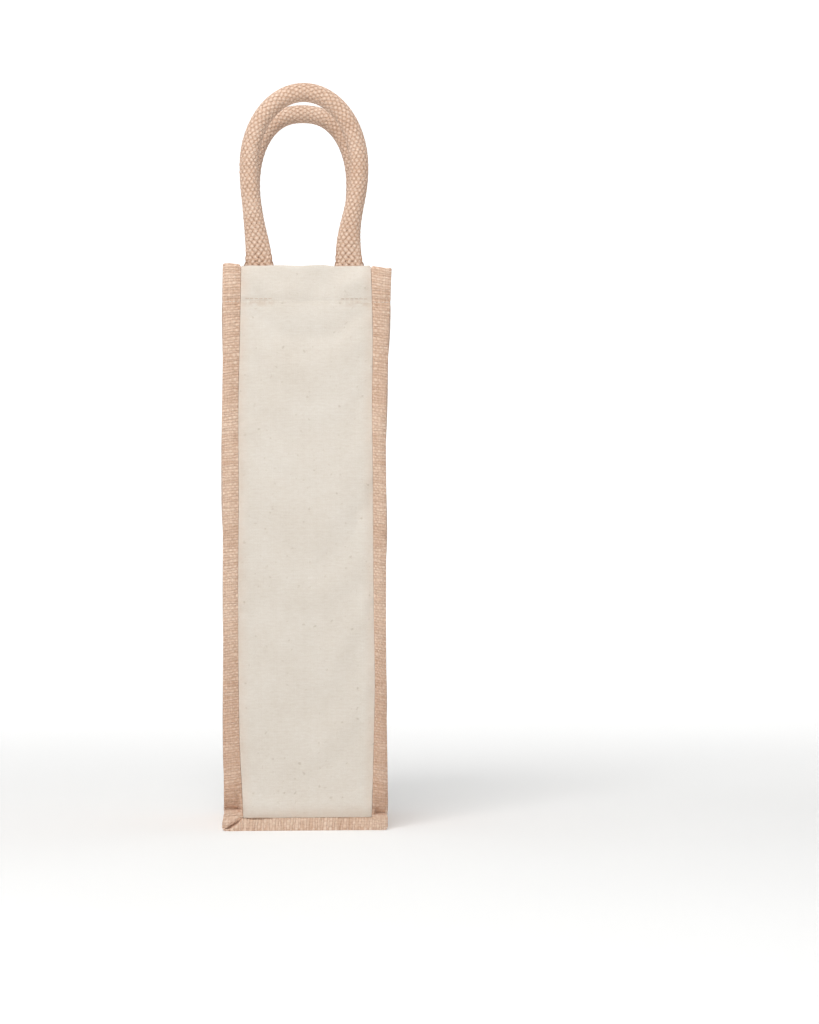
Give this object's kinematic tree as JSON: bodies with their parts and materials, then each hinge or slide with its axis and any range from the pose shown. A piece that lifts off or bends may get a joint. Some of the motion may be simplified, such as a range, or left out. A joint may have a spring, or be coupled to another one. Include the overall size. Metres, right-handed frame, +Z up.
{
  "type": "wine gift bag",
  "caption": "Tall open-topped gift bag for a wine bottle, with cotton canvas faces, a jute strip round the sides and base, and padded braided carrying handles.",
  "frame": {"origin": "middle of the base's underside", "axes": "+Z up towards the mouth and handles, +X to the right seen from the front, the front panel faces -Y"},
  "size_m": [0.1014, 0.1046, 0.4633],
  "materials": {
    "jute": "coarse plain-weave jute, matt",
    "canvas": "fine plain-weave natural cotton canvas, matt",
    "handle_braid": "round diagonal braid, matt",
    "core_cotton": "soft cotton cord filler",
    "thread": "spun sewing thread"
  },
  "bodies": {
    "bag": {"gusset_strip": "jute", "front_panel": "canvas", "back_panel": "canvas", "hem_thread_outside": "thread", "hem_thread_inside": "thread", "front_seam_thread": "thread", "back_seam_thread": "thread", "front_handle_end_left": "handle_braid", "front_handle_tack_left_outside": "thread", "front_handle_tack_left_inside": "thread", "front_handle_end_right": "handle_braid", "front_handle_tack_right_outside": "thread", "front_handle_tack_right_inside": "thread", "back_handle_end_left": "handle_braid", "back_handle_tack_left_outside": "thread", "back_handle_tack_left_inside": "thread", "back_handle_end_right": "handle_braid", "back_handle_tack_right_outside": "thread", "back_handle_tack_right_inside": "thread"},
    "front_handle": {"front_handle_sleeve": "handle_braid", "front_handle_core": "core_cotton"},
    "back_handle": {"back_handle_sleeve": "handle_braid", "back_handle_core": "core_cotton"}
  },
  "joints": [
    {"name": "front_handle_swing", "type": "hinge", "parent": "bag", "child": "front_handle", "pos_m": [0, -0.049, 0.3509], "axis": [1, 0, 0], "range_deg": [-22, 165], "stiffness_Nm_per_rad": 0.03},
    {"name": "back_handle_swing", "type": "hinge", "parent": "bag", "child": "back_handle", "pos_m": [0, 0.049, 0.3509], "axis": [-1, 0, 0], "range_deg": [-22, 165], "stiffness_Nm_per_rad": 0.03}
  ]
}
